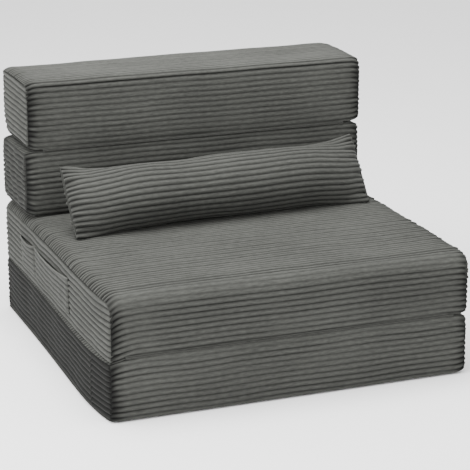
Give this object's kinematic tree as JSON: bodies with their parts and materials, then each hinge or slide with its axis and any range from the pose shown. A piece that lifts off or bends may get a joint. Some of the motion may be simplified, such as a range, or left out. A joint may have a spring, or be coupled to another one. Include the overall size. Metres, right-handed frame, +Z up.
{
  "type": "convertible chair bed",
  "caption": "Low armless chair of folded corduroy foam blocks with a loose bolster, which folds out in a zigzag to a single bed.",
  "frame": {"origin": "on the floor, in the middle of the folded chair's outline", "axes": "+Z up, the front faces -Y, +X is to the right of someone who looks at the chair's front"},
  "size_m": [0.7824, 0.77, 0.5508],
  "materials": {
    "corduroy": "wide wale corduroy with a soft pile, ribs along the chair's width",
    "corduroy_end": "wide wale corduroy with a soft pile, ribs front to back",
    "sole_cloth": "matt black non-slip cloth with small raised dots",
    "foam": "open cell foam, matt",
    "fibre_filling": "loose polyester fibre, matt",
    "zip_tape": "woven tape, matt",
    "zip_coil": "nylon coil, satin",
    "zip_metal": "dark lacquered zinc, satin"
  },
  "bodies": {
    "base": {"base_cover_wrap": "corduroy", "base_end_panel_left": "corduroy_end", "base_end_panel_right": "corduroy_end", "base_foam_core": "foam", "base_sole": "sole_cloth", "base_zip_chain": "zip_coil", "base_zip_tape": "zip_tape", "front_fold_web": "corduroy"},
    "seat": {"seat_cover_wrap": "corduroy", "seat_end_panel_left": "corduroy_end", "seat_end_panel_right": "corduroy_end", "seat_foam_core": "foam", "seat_zip_chain": "zip_coil", "seat_zip_tape": "zip_tape", "storage_pocket": "corduroy_end", "pocket_hem": "corduroy_end", "rear_fold_web": "corduroy"},
    "lower_back": {"lower_back_cover_wrap": "corduroy", "lower_back_end_panel_left": "corduroy_end", "lower_back_end_panel_right": "corduroy_end", "lower_back_foam_core": "foam", "lower_back_zip_chain": "zip_coil", "lower_back_zip_tape": "zip_tape", "back_fold_web": "corduroy"},
    "upper_back": {"upper_back_cover_wrap": "corduroy", "upper_back_end_panel_left": "corduroy_end", "upper_back_end_panel_right": "corduroy_end", "upper_back_foam_core": "foam", "upper_back_zip_chain": "zip_coil", "upper_back_zip_tape": "zip_tape"},
    "bolster": {"bolster_cover_lower": "corduroy", "bolster_cover_upper": "corduroy", "bolster_filling": "fibre_filling", "bolster_zip_chain": "zip_coil", "bolster_zip_tape": "zip_tape"},
    "base_zip_pull": {"base_zip_pull": "zip_metal"},
    "base_zip_slider": {"base_zip_slider": "zip_metal"},
    "bolster_zip_pull": {"bolster_zip_pull": "zip_metal"},
    "bolster_zip_slider": {"bolster_zip_slider": "zip_metal"},
    "lower_back_zip_pull": {"lower_back_zip_pull": "zip_metal"},
    "lower_back_zip_slider": {"lower_back_zip_slider": "zip_metal"},
    "seat_zip_pull": {"seat_zip_pull": "zip_metal"},
    "seat_zip_slider": {"seat_zip_slider": "zip_metal"},
    "upper_back_zip_pull": {"upper_back_zip_pull": "zip_metal"},
    "upper_back_zip_slider": {"upper_back_zip_slider": "zip_metal"}
  },
  "joints": [
    {"name": "seat_unfold", "type": "hinge", "parent": "base", "child": "seat", "pos_m": [-0.0028, -0.3852, 0.13115], "axis": [1, 0, 0], "range_deg": [0, 180], "deforming": ["front_fold_web"]},
    {"name": "lower_back_unfold", "type": "hinge", "parent": "seat", "child": "lower_back", "pos_m": [0.0052, 0.3852, 0.25945], "axis": [-1, 0, 0], "range_deg": [0, 180], "deforming": ["rear_fold_web"]},
    {"name": "upper_back_unfold", "type": "hinge", "parent": "lower_back", "child": "upper_back", "pos_m": [0.0052, 0.1848, 0.40525], "axis": [1, 0, 0], "range_deg": [0, 180], "deforming": ["back_fold_web"]},
    {"name": "bolster_lift", "type": "slide", "parent": "seat", "child": "bolster", "axis": [0, 0, 1], "range_m": [0, 0.32]},
    {"name": "base_zip_run", "type": "slide", "parent": "base", "child": "base_zip_slider", "axis": [0, -1, 0], "range_m": [0, 0.6644]},
    {"name": "base_zip_flip", "type": "hinge", "parent": "base_zip_slider", "child": "base_zip_pull", "pos_m": [0.382, 0.3322, 0.066], "axis": [0, 0, 1], "range_deg": [0, 175]},
    {"name": "seat_zip_run", "type": "slide", "parent": "seat", "child": "seat_zip_slider", "axis": [0, -1, 0], "range_m": [0, 0.6644]},
    {"name": "seat_zip_flip", "type": "hinge", "parent": "seat_zip_slider", "child": "seat_zip_pull", "pos_m": [0.382, 0.3322, 0.1888], "axis": [0, 0, 1], "range_deg": [0, 175]},
    {"name": "lower_back_zip_run", "type": "slide", "parent": "lower_back", "child": "lower_back_zip_slider", "axis": [0, -1, 0], "range_m": [0, 0.0944]},
    {"name": "lower_back_zip_flip", "type": "hinge", "parent": "lower_back_zip_slider", "child": "lower_back_zip_pull", "pos_m": [0.39, 0.3322, 0.33235], "axis": [0, 0, 1], "range_deg": [0, 175]},
    {"name": "upper_back_zip_run", "type": "slide", "parent": "upper_back", "child": "upper_back_zip_slider", "axis": [0, -1, 0], "range_m": [0, 0.0944]},
    {"name": "upper_back_zip_flip", "type": "hinge", "parent": "upper_back_zip_slider", "child": "upper_back_zip_pull", "pos_m": [0.39, 0.3322, 0.47015], "axis": [0, 0, 1], "range_deg": [0, 175]},
    {"name": "bolster_zip_run", "type": "slide", "parent": "bolster", "child": "bolster_zip_slider", "axis": [-0.9986, -0.0523, 0], "range_m": [0, 0.3044]},
    {"name": "bolster_zip_flip", "type": "hinge", "parent": "bolster_zip_slider", "child": "bolster_zip_pull", "pos_m": [0.15172, 0.10806, 0.27812], "axis": [0.037, -0.7061, -0.7071], "range_deg": [-85, 85]}
  ],
  "couplings": [
    {"joint": "lower_back_unfold", "follows": "seat_unfold", "ratio": 1},
    {"joint": "upper_back_unfold", "follows": "seat_unfold", "ratio": 1}
  ]
}
